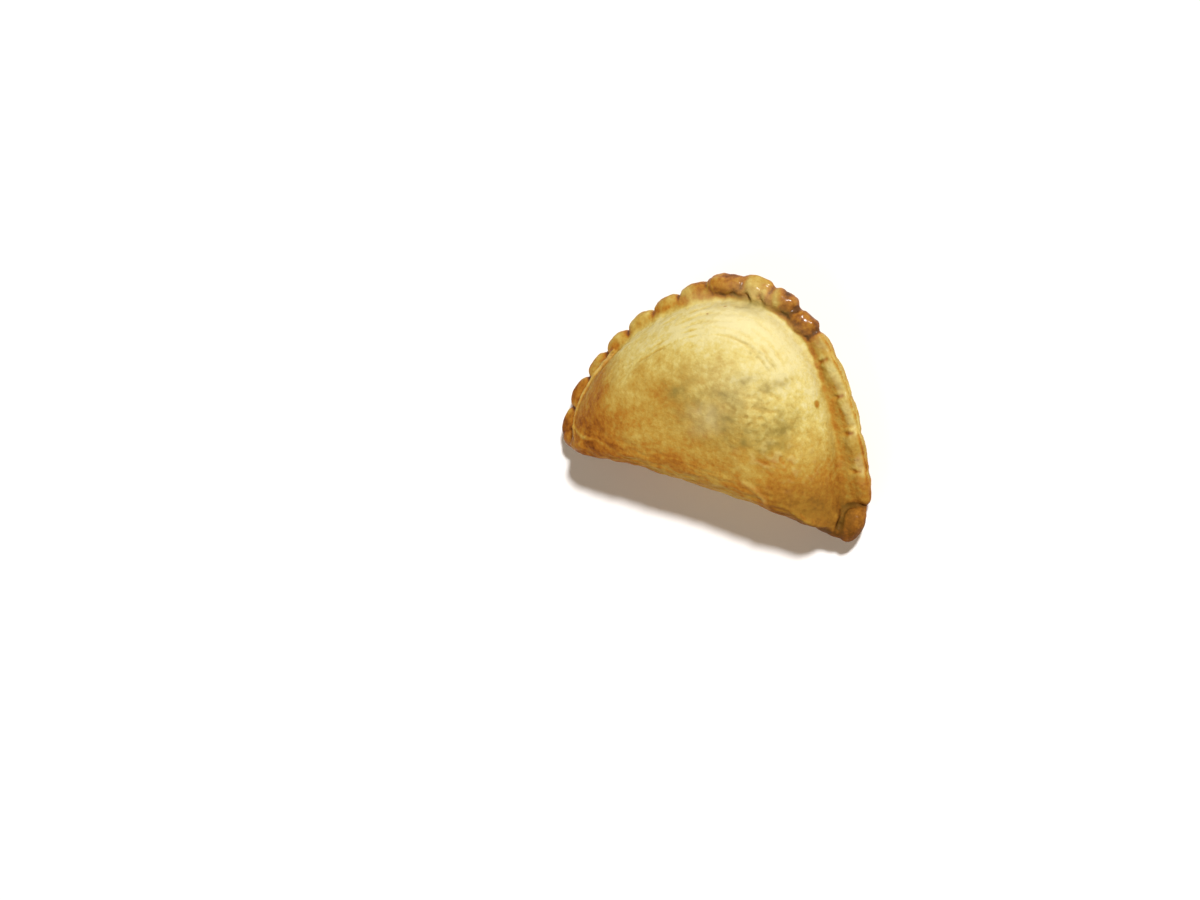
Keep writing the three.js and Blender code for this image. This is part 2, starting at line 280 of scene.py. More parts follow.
# On the fold, by X: partly browning, partly painted light in the middle and painted shade at the dark right
# corner
FOLD_BAKE_LIGHT_AND_SHADE = [(-48, 0.80), (-28, 0.63), (0, 0.42), (20, 0.47), (36, 0.82), (50, 0.95)]
# On the flank, on the rim and in the valley inside the pleats, by the place along the edge
FLANK_BAKE = [(30, 0.12), (60, 0.06), (90, 0.03)]
RIM_BAKE = [
    (-6, 0.74), (0, 0.66), (11, 0.54), (25, 0.46), (40, 0.38), (54, 0.37), (62, 0.50), (67, 0.84),
    (74, 0.88), (80, 0.88), (87, 0.80), (90, 0.46), (97, 0.44), (101, 0.75), (110, 0.72), (118, 0.66),
    (130, 0.58), (145, 0.50), (160, 0.54), (170, 0.58), (182, 0.66), (200, 0.74),
]
VALLEY_BAKE = [(0, 0.54), (40, 0.48), (56, 0.56), (66, 0.68)]
VALLEY_INSETS = [(0, 10.4), (30, 10.2), (46, 9.6), (56, 8.6), (66, 7.9), (80, 8.4)]  # its inner side
# Insets between which the rim's browning fades into the face, by the place along the edge
RIM_FADE_START = [(66, 6.8), (80, 7.0), (100, 7.2), (130, 4.8), (170, 4.2)]
RIM_FADE_END = [(66, 8.2), (80, 8.6), (100, 9.6), (130, 8.2), (170, 5.6)]
BALL_BAKE = 0.92
LIP_BAKE = 0.26
BASE_BAKE = 0.62
# Changes of browning on the face, on the pleats and along lines; some are painted shade: low on the fold, in
# the notches and in creases
LEFT_END_BAKE = 0.08
LOW_FOLD_SHADE = 0.1
STRETCH_BAKE = 0.11
RIM_PATCH_BAKE = 0.22
OUTER_SIDE_BAKE = 0.14
NOTCH_BAKE_AND_SHADE = 0.26
ROPE_BAKES = (-0.04, 0.08)  # on the outer and on the inner half of the rope-like pleats
OUTER_CREASE_SHADE = 0.3
BALL_CREASE_SHADE = 0.25
FOLD_LINE_BAKE = -0.2
STREAK_BAKE = 0.24
# Hollows are painted darker, partly as browning and partly as painted shade, and ridges paler, by their depth
# below the skin's level and within limits
HOLLOW_BAKE_AND_SHADE = 0.7
HOLLOW_LIMITS = (-0.14, 0.2)
LEVEL_ROUNDS = 16
LEVEL_STEP = 0.7
# Places on the face that are baked more or less: x, y, half length, half width, turn in degrees, change
BAKE_PATCHES = [
    (-8, 36, 6, 4.5, -30, 0.14), (-17, 40, 8, 6, 0, 0.06), (-40, 26, 6, 9, 0, 0.10), (-26, 22, 7, 5, 0, 0.04),
    (-35, 15, 9, 5, 0, 0.10), (-20, 18, 9, 3.5, 0, -0.10), (14, 16, 12, 4, 10, -0.14),
    (-34, 42, 7, 10, 40, -0.26), (41, 11, 8, 7, 0, 0.04), (24, 19, 7, 4, 0, -0.12),
]
PALE_ROPE_END = (12.0, 71.4, 1.7, 4.5, 15, -0.42)
# Brown spots: place, size, browning
SPOTS = [((34.8, 43.1, 16.2), 1.5, 0.64), ((-8.7, 63.9, 21.2), 0.55, 0.95), ((-4.5, 66.8, 16.8), 0.6, 0.95)]

# Moist places on the face: x, y, half length, half width and how moist
MOIST_PLACES = [
    (-8.7, 39.4, 3, 2, 0.6), (11, 44, 3, 2, 0.6), (14.5, 50, 4, 2, 0.7), (22, 49, 4, 2, 0.7),
    (29.5, 37, 3.5, 4.5, 0.9), (11.6, 35, 3.5, 2.5, 0.6), (28.8, 29, 4, 2, 0.6), (14.3, 41.6, 3, 2, 0.4),
    (23, 32, 5, 4, 0.45), (16, 29, 5, 3, 0.4), (19, 34, 6, 4, 0.25),
]
MOIST_TURN = 20  # degrees
MOIST_MIDDLE = (3, 36, 15, 12, 0.5)
# Under the petals the darker colour is partly the filling's moisture and partly painted shade
MOIST_AND_SHADE_UNDER_PETALS = (4, 69.4, 9, 1.8, 0.95)
MOIST_UNEVENNESS = 0.8
MOIST_CRINKLES = 0.22
MOIST_CRACKS = 0.5
MOIST_CRACK_WIDTH = 0.6
# Floury places: x, y, half length, half width and how floury
FLOURY_PLACES = [(0, 64.5, 16, 3.2, 0.45), (4, 73, 9, 3, 0.2), (12, 50, 14, 12, 0.2)]
RIDGE_FLOUR = 0.32
FLANK_FLOUR = 0.2
FLAKE_FLOUR = 0.12
LIP_FLOUR = 0.3
TUCK_FLOUR = 0.2
PAD_FLOUR = 0.22
# Painted shade: a dull, darker colour low on the right and, weaker, on the corner ball
DULL_SHADE_PLACE = (43, 9, 14, 10, -15)  # painted shade low on the right, where the crust turns away from the light: x, y, half length, half width, turn in degrees
DULL_SHADE_SHARE = 0.6
DULL_SHADE_BALL = 0.15
BALL_PLACE = (53.6, 3.2, 6.4, 8.4)
# Glaze on the pleats, by the place along the edge
GLAZE = [(0, 0.1), (40, 0.35), (62, 0.4), (67, 1), (87, 0.8), (92, 0.5), (112, 0.6), (120, 0.3)]


# Shares and mixes

def smooth(value, low, high):
    """Smooth step from 0 at low to 1 at high"""
    share = np.clip((value - low) / (high - low), 0.0, 1.0)
    return share * share * (3.0 - 2.0 * share)


def within(value, start, full, fade, end):
    """1 from full to fade, falling smoothly to 0 at start and at end"""
    return smooth(value, start, full) * (1 - smooth(value, fade, end))


def between(value, start, end):
    """Share of the way from start to end"""
    return np.clip((value - start) / (end - start), 0, 1)


def blend(first, second, share):
    """All first at a share of 0 and all second at a share of 1"""
    return first + (second - first) * share


def read_off(value, pairs):
    """Values read off a short list of pairs, with straight lines between them"""
    places, values = zip(*pairs)
    return np.interp(value, places, values)


# Outlines seen from above

def half_moon_line(turn, right, left, depth):
    """A half-moon seen from above, anticlockwise from its widest place on the right, for turns of 0 to 1"""
    cosine = np.cos(2 * np.pi * turn)
    sine = np.sin(2 * np.pi * turn)
    on_right = cosine > 0
    side = Side(*(np.where(on_right, *values) for values in zip(right, left)))
    rise = np.clip(sine, 0, 1) ** side.straightness
    dip = np.clip(-sine, 0, 1)
    arch_x = side.half * cosine + APEX_LEAN * rise ** 2
    arch_y = blend(side.widest, depth, rise)
    fold_x = side.half * np.sign(cosine) * np.sqrt(np.abs(cosine))
    corner_y = side.widest - (side.widest + side.fullness) * dip ** side.sharpness
    fold_y = corner_y + (FOLD_HOLLOW + side.fullness) * dip ** 3
    on_arch = sine >= 0
    return np.column_stack([np.where(on_arch, arch_x, fold_x), np.where(on_arch, arch_y, fold_y)])


class Line:
    """A closed line seen from above, with places at distances along it"""

    def __init__(self, right, left, depth):
        self.places = half_moon_line(np.linspace(0, 1, OUTLINE_POINTS), right, left, depth)
        steps = np.linalg.norm(np.diff(self.places, axis=0), axis=1)
        self.distances = np.concatenate([[0.0], np.cumsum(steps)])
        self.length = self.distances[-1]
        away = self.places - CROWN
        self.angles = np.unwrap(np.arctan2(away[:, 1], away[:, 0]))
        self.reaches = np.linalg.norm(away, axis=1)

    def at(self, along):
        wrapped = np.mod(along, self.length)
        x = np.interp(wrapped, self.distances, self.places[:, 0])
        y = np.interp(wrapped, self.distances, self.places[:, 1])
        return np.column_stack([x, y])

    def outward(self, along):
        """Directions that point out of the half-moon"""
        step = 0.5
        forward = self.at(along + step) - self.at(along - step)
        forward = forward / np.linalg.norm(forward, axis=1, keepdims=True)
        return np.column_stack([forward[:, 1], -forward[:, 0]])

    def signed(self, along):
        """Distances along the line, below 0 on the last fifth before the start"""
        wrapped = np.mod(along, self.length)
        return np.where(wrapped > 0.8 * self.length, wrapped - self.length, wrapped)


EDGE = Line(EDGE_RIGHT, EDGE_LEFT, DEPTH)
FOOT = Line(FOOT_RIGHT, FOOT_LEFT, FOOT_DEPTH)


def to_notch(along):
    """Distance to the nearest notch between pleats"""
    return np.min(np.abs(along[:, None] - NOTCHES[None, :]), axis=1)


def crust_coordinates(places):
    """For places on the crust: the distance along the edge of the place straight out from the crown, the
    inset from the edge, and the distance along the edge of the place square out from it"""
    away = places[:, :2] - CROWN
    angle = np.arctan2(away[:, 1], away[:, 0])
    angle = np.where(angle < EDGE.angles[0], angle + 2 * np.pi, angle)
    along = np.interp(angle, EDGE.angles, EDGE.distances)
    reach = np.interp(angle, EDGE.angles, EDGE.reaches)
    distance = np.linalg.norm(away, axis=1)
    radial = away / np.maximum(distance, 0.001)[:, None]
    outward = EDGE.outward(along)
    straight = np.sum(outward * radial, axis=1)
    aslant = outward[:, 0] * radial[:, 1] - outward[:, 1] * radial[:, 0]
    square = along - (reach - distance) * aslant
    return EDGE.signed(along), (reach - distance) * np.maximum(straight, 0.5), EDGE.signed(square)


# The filled half-moon and the pressed edge, as places on their skins

def filled_part(along, row):
    """Places on the skin of the filled part, at distances along its foot and rows from the crown"""
    foot = FOOT.at(along)
    fold_share = smooth(-FOOT.outward(along)[:, 1], *FOLD_TURN)
    left_share = 1 - smooth(foot[:, 0], *FLANK_LEFT_ENDS)
    width, curve = (
        blend(blend(arch, left, left_share), fold, fold_share)
        for arch, left, fold in zip(FLANK, FLANK_LEFT, FLANK_FOLD))
    low = blend(FOOT_HEIGHT, FOLD_MIDDLE, fold_share)
    reach = np.linalg.norm(foot - CROWN, axis=1)

    over_crown = between(row, 0.0, ROW_SHOULDER)
    down_flank = between(row, ROW_SHOULDER, ROW_FOOT)
    flank_inset = width * (1 - down_flank) ** ROW_CROWDING
    inset = np.where(row < ROW_SHOULDER, blend(reach, width, over_crown), flank_inset)
    share = 1 - inset / reach
    place = CROWN + (foot - CROWN) * share[:, None]
    top = HEIGHT - CROWN_RISE * share ** 2 - END_DROP * (2 * place[:, 0] / FOLD_LENGTH) ** 2
    down = 1 - np.clip(inset / width, 0, 1)
    height = blend(low, top, (1 - down ** curve) ** (1 / curve))
    fade = 1 - smooth(row, ROW_SHOULDER, ROW_FOOT)
    for x, y, spread, swelling in SWELLINGS:
        away = ((place[:, 0] - x) ** 2 + (place[:, 1] - y) ** 2) / spread ** 2
        height = height + fade * swelling * np.exp(-away)

    under = 0.5 * np.pi * between(row, ROW_FOOT, ROW_UNDER)
    to_middle = between(row, ROW_UNDER, 1.0)
    under_share = (1 - UNDERCUT * (1 - np.cos(under)) / reach) * (1 - to_middle)
    under_place = CROWN + (foot - CROWN) * under_share[:, None]
    under_height = low * (1 - np.sin(under))
    below = row > ROW_FOOT
    place = np.where(below[:, None], under_place, place)
    return np.column_stack([place, np.where(below, under_height, height)])


def lobe_arc(along):
    """1 in the middle of a pleat, falling in a round arc to the notches at its two ends"""
    index = np.clip(np.searchsorted(NOTCHES, along) - 1, 0, len(NOTCHES) - 2)
    middle = (NOTCHES[index] + NOTCHES[index + 1]) / 2
    half = (NOTCHES[index + 1] - NOTCHES[index]) / 2
    return np.sqrt(1 - np.clip(np.abs(along - middle) / half, 0, LOBE_END) ** 2)


def rim_section(along):
    """Section of the pressed edge at places along it: turn, inset and height of each of its points"""
    places, *columns = zip(*RIM)
    width, top, valley_depth, sheet, sheet_top = (np.interp(along, places, values) for values in columns)
    hollow = (1 - lobe_arc(along)) * read_off(along, LOBE_DEPTHS)
    sheet = sheet + hollow
    sheet_top = sheet_top - LOBE_CROWN * hollow
    valley = top - valley_depth
    middle = (sheet_top + RIM_BOTTOM) / 2
    rise = sheet_top - middle
    inner = np.maximum(width, sheet + SHEET_MARGIN)
    root = inner + RIM_ROOT
    low = np.full(len(along), RIM_BOTTOM)
    underside = [
        (-3.15, root, middle),
        (-2.6, root, low),
        (-0.9, sheet + 1.6, low),
        (-0.45, sheet + 0.4, low + 0.9),
    ]
    outer_side = [(turn, sheet + step, middle + share * rise) for turn, step, share in SHEET_ROUND]
    upper_face = [
        (1.3, sheet + 2.8, (sheet_top + top) / 2),
        (1.8, np.maximum(width - 2.6, sheet + 3.2), top),
        (2.3, np.maximum(width - 0.6, sheet + 3.4), valley),
        (2.7, inner + 1.5, valley),
        (3.15, root, middle),
    ]
    return underside + outer_side + upper_face


def pressed_edge(along, turn):
    """Places on the ring of pressed pastry; turn goes round its section from the outer side over the top"""
    section = rim_section(EDGE.signed(along))
    inset = np.zeros(len(along))
    height = np.zeros(len(along))
    for (start, inset_a, height_a), (end, inset_b, height_b) in zip(section[:-1], section[1:]):
        here = (turn >= start) & (turn < end)
        share = between(turn, start, end)
        inset = np.where(here, blend(inset_a, inset_b, share), inset)
        height = np.where(here, blend(height_a, height_b, share), height)
    wrapped = np.mod(along, EDGE.length)
    onto_fold = np.minimum(wrapped - LEFT_CORNER, EDGE.length + RIGHT_CORNER - wrapped)
    inset = inset + HIDDEN_INSET * smooth(onto_fold, *CORNER_BLEND)
    return np.column_stack([EDGE.at(along) - EDGE.outward(along) * inset[:, None], height])


# Handling of meshes

def mesh_places(piece):
    """A piece's vertices as they are in its mesh"""
    places = np.empty(len(piece.data.vertices) * 3)
    piece.data.vertices.foreach_get("co", places)
    return places.reshape(-1, 3)


def bench_places(piece):
    """A piece's vertices in bench millimetres"""
    return mesh_places(piece) / MM - BENCH_TO_FRAME


def put_places(piece, places):
    """Move a piece's vertices to places on the bench"""
    piece.data.vertices.foreach_set("co", ((places + BENCH_TO_FRAME) * MM).ravel())
    piece.data.update()


def normals_of(piece):
    normals = np.empty(len(piece.data.vertices) * 3)
    piece.data.vertex_normals.foreach_get("vector", normals)
    return normals.reshape(-1, 3)


def push(piece, amount):
    """Move the skin out along its own direction by some millimetres, and nowhere below the base"""
    places = bench_places(piece) + normals_of(piece) * amount[:, None]
    places[:, 2] = np.maximum(places[:, 2], 0.0)
    put_places(piece, places)


def only(piece):
    """Leave one piece selected and active"""
    bpy.ops.object.select_all(action="DESELECT")
    piece.select_set(True)
    bpy.context.view_layer.objects.active = piece


def apply_modifier(piece, kind, **settings):
    only(piece)
    modifier = piece.modifiers.new(kind.title(), kind)
    for name, value in settings.items():
        setattr(modifier, name, value)
    bpy.ops.object.modifier_apply(modifier=modifier.name)


def joined(body, others):
    """One piece made of a body and others"""
    only(body)
    for piece in others:
        piece.select_set(True)
    bpy.ops.object.join()
    return body


def neighbour_means(piece):
    """A function that gives the mean of each vertex's neighbours"""
    count = len(piece.data.vertices)
    pairs = np.empty(len(piece.data.edges) * 2, np.int32)
    piece.data.edges.foreach_get("vertices", pairs)
    first, second = pairs.reshape(-1, 2).T
    neighbours = np.bincount(pairs, minlength=count)

    def means(values):
        sums = [np.bincount(first, column[second], count) + np.bincount(second, column[first], count)
                for column in values.T]
        return np.column_stack(sums) / neighbours[:, None]

    return means


# The pieces of pastry

def share_of_turn(x, y):
    """How far round the Z axis a place is, from 0 to 1"""
    return np.mod(np.arctan2(y, x), 2 * np.pi) / (2 * np.pi)


def rolled_out_body():
    """The filled half-moon, a ball whose rings are drawn along the sections"""
    bpy.ops.object.select_all(action="DESELECT")
    bpy.ops.mesh.primitive_uv_sphere_add(segments=AROUND, ring_count=RINGS, radius=1.0)
    body = bpy.context.object
    x, y, z = mesh_places(body).T
    row = np.arccos(np.clip(z, -1, 1)) / np.pi
    put_places(body, filled_part(FOOT.length * share_of_turn(x, y), row))
    return body


def rolled_out_edge():
    """The pressed edge, a ring whose section is drawn round the arch"""
    bpy.ops.object.select_all(action="DESELECT")
    bpy.ops.mesh.primitive_torus_add(major_segments=AROUND, minor_segments=RIM_SIDES, major_radius=1.0,
                                     minor_radius=0.25)
    ring = bpy.context.object
    x, y, z = mesh_places(ring).T
    turn = np.arctan2(z, np.hypot(x, y) - 1.0)
    put_places(ring, pressed_edge(EDGE.length * share_of_turn(x, y), turn))
    return ring


def press(pleat, chosen, sizes):
    """Resize a pleat's chosen vertices about its middle, in edit mode"""
    bpy.ops.object.mode_set(mode="EDIT")
    bpy.ops.mesh.select_mode(type="VERT")
    bpy.ops.mesh.select_all(action="DESELECT")
    bpy.ops.object.mode_set(mode="OBJECT")
    for vertex in pleat.data.vertices:
        vertex.select = chosen(vertex.co)
    bpy.ops.object.mode_set(mode="EDIT")
    bpy.ops.transform.resize(value=sizes, center_override=(0, 0, 0))
    bpy.ops.object.mode_set(mode="OBJECT")


def pressed_pleat(boxiness):
    """One pleat of unit half sizes, a ball pressed flat below, full at its far end and slim at the other"""
    bpy.ops.object.select_all(action="DESELECT")
    bpy.ops.mesh.primitive_uv_sphere_add(segments=PLEAT_AROUND, ring_count=PLEAT_RINGS, radius=1.0)
    pleat = bpy.context.object
    press(pleat, lambda place: place.z < PLEAT_FLAT_BELOW, PLEAT_FLATTER)
    for step in PLEAT_STEPS:
        press(pleat, lambda place: place.x > step, PLEAT_WIDER)
        press(pleat, lambda place: place.x < -step, PLEAT_SLIMMER)
    apply_modifier(pleat, "CAST", cast_type="CUBOID", factor=boxiness)
    return pleat


def pleat_copy(pleat, middle, sizes, heading, lift=0.0):
    """A copy of the pleat with its own mesh, at a place on the bench"""
    copy = pleat.copy()
    copy.data = pleat.data.copy()
    bpy.context.collection.objects.link(copy)
    place = (Vector(middle) + Vector(BENCH_TO_FRAME)) * MM
    copy.matrix_world = (Matrix.Translation(place) @ Matrix.Rotation(heading, 4, "Z")
                         @ Matrix.Rotation(-lift, 4, "Y")
                         @ Matrix.Diagonal((*[size * MM for size in sizes], 1)))
    return copy


def pleats_round_edge(flat_pleat, round_pleat):
    """Copies of the pleats between the notches, each of its own kind and a little uneven"""
    chance = random.Random(PLEAT_SEED)
    copies = []
    for first, last, kind in zip(NOTCHES[1:], NOTCHES[2:], PLEAT_ORDER):
        form = PLEAT_KINDS[kind]
        along = np.array([(first + last) / 2])
        outward = EDGE.outward(along)[0]
        place = EDGE.at(along)[0] - outward * form.inset
        even_sizes = (form.length * (last - first), form.width, form.height)
        sizes = [size * chance.uniform(*PLEAT_SIZE_CHANCE) for size in even_sizes]
        middle = (*place, form.level + chance.uniform(*PLEAT_LEVEL_CHANCE))
        heading = math.atan2(outward[0], -outward[1]) + form.twist
        pleat = flat_pleat if kind == "pad" else round_pleat
        copies.append(pleat_copy(pleat, middle, sizes, heading, form.lift))
    for middle, sizes, heading in PETALS + CORNER_PIECES:
        copies.append(pleat_copy(round_pleat, middle, sizes, heading))
    return copies


def pastry_strip(path, thickness, depth):
    """A strip of pastry standing on its edge, along a few places on the bench"""
    bpy.ops.object.select_all(action="DESELECT")
    bpy.ops.curve.primitive_nurbs_path_add(radius=1.0)
    strip = bpy.context.object
    spline = strip.data.splines[0]
    spline.points.add(len(path) - len(spline.points))
    for point, place in zip(spline.points, path):
        point.co = (*((np.array(place) + BENCH_TO_FRAME) * MM), 1)
    spline.order_u = 3
    spline.use_endpoint_u = True
    spline.resolution_u = 12
    strip.data.twist_mode = "Z_UP"
    strip.data.bevel_depth = thickness / 2 * MM
    strip.data.bevel_resolution = 4
    strip.data.extrude = (depth - thickness) / 2 * MM
    strip.data.use_fill_caps = True
    bpy.ops.object.convert(target="MESH")
    return bpy.context.object


def clear_base(pastry):
    """Make the flat baked base one face"""
    only(pastry)
    bpy.ops.object.mode_set(mode="EDIT")
    bpy.ops.mesh.select_mode(type="FACE")
    bpy.ops.mesh.select_all(action="DESELECT")
    bpy.ops.object.mode_set(mode="OBJECT")
    for face in pastry.data.polygons:
        face.select = face.normal.z < BASE_FACING and face.center.z < BASE_LEVEL * MM
    bpy.ops.object.mode_set(mode="EDIT")
    bpy.ops.mesh.dissolve_limited(angle_limit=math.radians(BASE_BEND))
    bpy.ops.object.mode_set(mode="OBJECT")


def soften_foot(pastry):
    """Round the hollow where the flank rises from the pressed edge, and the join beside the corner ball"""
    means = neighbour_means(pastry)
    places = bench_places(pastry)
    along, inset, _ = crust_coordinates(places)
    at_height = within(places[:, 2], *SOFT_HEIGHTS)
    to_corner = np.linalg.norm(places - np.array(CORNER_JOIN), axis=1)
    weight = CORNER_JOIN_STRENGTH * (1 - smooth(to_corner, *CORNER_JOIN_REACH))
    weight = weight * (1 - smooth(places[:, 0], *CORNER_JOIN_LIMIT))
    for stretch, band, strength in SOFT_FEET:
        here = strength * at_height * within(along, *stretch) * within(inset, *band)
        weight = np.maximum(weight, here)
    for _ in range(SOFTENING_ROUNDS):
        places = places + SOFTENING_STEP * weight[:, None] * (means(places) - places)
    put_places(pastry, places)


def raw_empanada():
    """The shaped pastry, before its crust gets its relief"""
    body = rolled_out_body()
    edge = rolled_out_edge()
    flat_pleat = pressed_pleat(FLAT_BOXINESS)
    round_pleat = pressed_pleat(ROUND_BOXINESS)
    pleats = pleats_round_edge(flat_pleat, round_pleat)
    bpy.data.objects.remove(flat_pleat)
    bpy.data.objects.remove(round_pleat)
    lip = pastry_strip(LIP, LIP_THICKNESS, LIP_DEPTH)
    pastry = joined(body, [edge, lip] + pleats)
    apply_modifier(pastry, "REMESH", mode="VOXEL", voxel_size=VOXEL * MM)
    apply_modifier(pastry, "SMOOTH", **SKIN_SMOOTHING)
    clear_base(pastry)
    soften_foot(pastry)
    pastry.name = "baked_empanada"
    pastry.data.name = "baked_empanada"
    return pastry


# Patterns on the crust

def uneven(places, size, seed, stretch=(1, 1, 1)):
    """Smooth uneven values of about -1 to 1 whose bumps have a size in millimetres"""
    spots = places / (size * np.array(stretch)) + seed * 13.7
    return np.array([noise.noise(spot) for spot in spots.tolist()])


def bumps(places, layers):
    """Uneven bumps of several sizes on each other"""
    return sum(height * uneven(places, size, seed) for size, seed, height in layers)


def wandering(places, reach, size, seeds):
    """Places moved unevenly by up to a reach, which makes lines and patches wander"""
    return places + reach * np.column_stack([uneven(places, size, seed) for seed in seeds])


def turned(places, degrees):
    """Places turned about Z, to lay stretched bumps in a direction"""
    cosine = math.cos(math.radians(degrees))
    sine = math.sin(math.radians(degrees))
    x = places[:, 0] * cosine + places[:, 1] * sine
    y = places[:, 1] * cosine - places[:, 0] * sine
    return np.column_stack([x, y, places[:, 2]])


def near_path(places, path, width, fade=LINE_FADE):
    """1 on a line through a few places, falling off across its width and fading out at both ends"""
    path = np.array(path, float)
    lengths = np.linalg.norm(np.diff(path, axis=0), axis=1)
    before = np.concatenate([[0.0], np.cumsum(lengths)])
    nearest = np.full(len(places), np.inf)
    passed = np.zeros(len(places))
    for first, second, length, distance in zip(path[:-1], path[1:], lengths, before):
        step = (second - first) / length
        share = np.clip((places - first) @ step, 0, length)
        away = np.linalg.norm(places - first - share[:, None] * step, axis=1)
        passed = np.where(away < nearest, distance + share, passed)
        nearest = np.minimum(away, nearest)
    to_end = np.minimum(passed, before[-1] - passed)
    return np.exp(-(nearest / width) ** 2) * smooth(to_end, -0.01, fade)


def oval(places, x, y, length, width, degrees=0.0):
    """1 in the middle of an oval place seen from above, fading out past its half sizes"""
    flat = turned(places - np.array([x, y, 0.0]), degrees)
    return np.exp(-(flat[:, 0] / length) ** 2 - (flat[:, 1] / width) ** 2)


def fine_line(values, middle, width):
    """1 where values are at a middle, falling off across a width"""
    return np.exp(-((values - middle) / width) ** 2)


class Crust:
    """Places on the crust and what its relief and browning follow there"""

    def __init__(self, piece):
        self.places = bench_places(piece)
        self.x, self.y, self.z = self.places.T
        normals = normals_of(piece)
        self.facing_up = normals[:, 2]
        self.facing_fold = -normals[:, 1]
        self.along, self.inset, self.square = crust_coordinates(self.places)
        self.on_pleats = within(self.along, *PLEATED)
        self.on_pads = 1 - smooth(self.along, *PADS_END)
        self.loose = wandering(self.places, *LOOSE)
        self.jagged = wandering(self.places, *JAGGED)

    def at_notches(self, width):
        """1 in the notches between the pleats"""
        return fine_line(to_notch(self.square), 0.0, width)


def crinkles(crust):
    """Short crinkles drawn across the middle of the face, 1 at their bottoms"""
    drawn = uneven(turned(crust.loose, 20), 1.9, 9, (2.2, 1, 1))
    crossing = uneven(turned(crust.loose, -6), 1.6, 19, (1.8, 1, 1))
    return oval(crust.places, *CRINKLED_PLACE) * smooth(drawn + 0.6 * crossing, -0.05, 0.4)


def flakes(crust):
    """Pale flakes low on the right of the face, 1 on their ridges"""
    ridges = uneven(turned(crust.loose, -14), 1.8, 15, (2.6, 1, 1))
    return oval(crust.places, *FLAKY_PLACE) * smooth(ridges, 0.05, 0.45)


def stretch_lines(crust):
    """Fine lines where the pastry is stretched round the top of the flank, 1 at their bottoms"""
    stretch = within(crust.along, *STRETCHED)
    loose_inset = crust.inset + 0.9 * uneven(crust.places, 13, 7)
    patchy = smooth(uneven(crust.places, 9, 8), -0.4, 0.4)
    return stretch * patchy * sum(fine_line(loose_inset, line, STRETCH_WIDTH) for line in STRETCH_LINES)


def streaks(crust):
    """Flaky streaks along the fold, about -1 to 1, fading out up the face and towards the corners"""
    share = (1 - smooth(crust.y, 10, 22)) * (1 - smooth(np.abs(crust.x), 40, 48))
    return share * uneven(turned(crust.loose, -4), 1.6, 14, (4.0, 1, 1))


# Relief of the baked crust, in millimetres outwards

def line_relief(crust):
    """Ridges, cracks and the crease round the corner ball"""
    amount = sum(height * near_path(crust.loose, path, width, fade) for path, height, width, fade in RIDGES)
    for crack in CRACKS:
        amount -= CRACK_DEPTH * near_path(crust.jagged, crack, CRACK_WIDTH)
    crease = near_path(crust.places, BALL_CREASE, BALL_CREASE_WIDTH, BALL_CREASE_FADE)
    return amount - BALL_CREASE_DEPTH * crease


def face_relief(crust):
    """Flakes, crinkles and stretch lines of the face, and the layers that show at the left corner"""
    layers = oval(crust.places, *LAYERED_PLACE) * (1 - smooth(crust.z, 16, 22))
    amount = LAYER_HEIGHT * layers * np.sin(2 * np.pi * crust.z / LAYER_SPACING)
    amount += FLAKE_HEIGHT * flakes(crust) - CRINKLE_DEPTH * crinkles(crust)
    return amount - STRETCH_DEPTH * stretch_lines(crust)


def fold_relief(crust):
    """Uneven swellings and streaks of the fold"""
    at_fold = smooth(-crust.y, -14, -4) * (1 - smooth(crust.facing_up, 0.75, 0.95))
    return at_fold * bumps(crust.places, FOLD_BUMPS) + STREAK_HEIGHT * streaks(crust)


def rim_relief(crust):
    """Notches between the pleats and the pleats' own roughness"""
    inset = crust.inset
    ropes = within(crust.along, *ROPES)
    lobe_depth = LOBE_NOTCH * (1 - smooth(inset, 3.0, 6.0))
    pad_depth = PAD_NOTCH * smooth(inset, 2.6, 3.8)
    depth = blend(lobe_depth, pad_depth, crust.on_pads) * (1 - within(crust.along, *TORN))
    amount = -depth * crust.at_notches(NOTCH_WIDTH) * smooth(crust.square, *FIRST_NOTCH)
    amount -= ROPE_NOTCH * ropes * crust.at_notches(ROPE_NOTCH_WIDTH) * (1 - smooth(inset, 2.5, 5.0))
    amount += bumps(crust.places, RIM_BUMPS) * (1 - 0.6 * smooth(crust.along, *SMOOTH_LOBES))
    return amount + ropes * bumps(crust.places, ROPE_BUMPS)


def relief(piece):
    """Raise and press the crust's own forms into its skin"""
    crust = Crust(piece)
    off_base = smooth(crust.z, *RELIEF_HEIGHTS)
    on_rim = crust.on_pleats * (1 - smooth(crust.inset, *RIM_INSETS)) * off_base
    amount = off_base * (bumps(crust.places, SKIN_BUMPS) + fold_relief(crust))
    amount += line_relief(crust) + face_relief(crust) + on_rim * rim_relief(crust)
    push(piece, amount)


# Browning, moisture, painted shade, glaze and flour

def hollow_bake_and_shade(piece):
    """How much darker a place is painted because it lies in a hollow, below 0 on ridges: partly browning,
    partly painted shade
    """
    means = neighbour_means(piece)
    places = bench_places(piece)
    level = places
    for _ in range(LEVEL_ROUNDS):
        level = blend(level, means(level), LEVEL_STEP)
    depth = np.sum((level - places) * normals_of(piece), axis=1)
    return np.clip(HOLLOW_BAKE_AND_SHADE * depth, *HOLLOW_LIMITS)


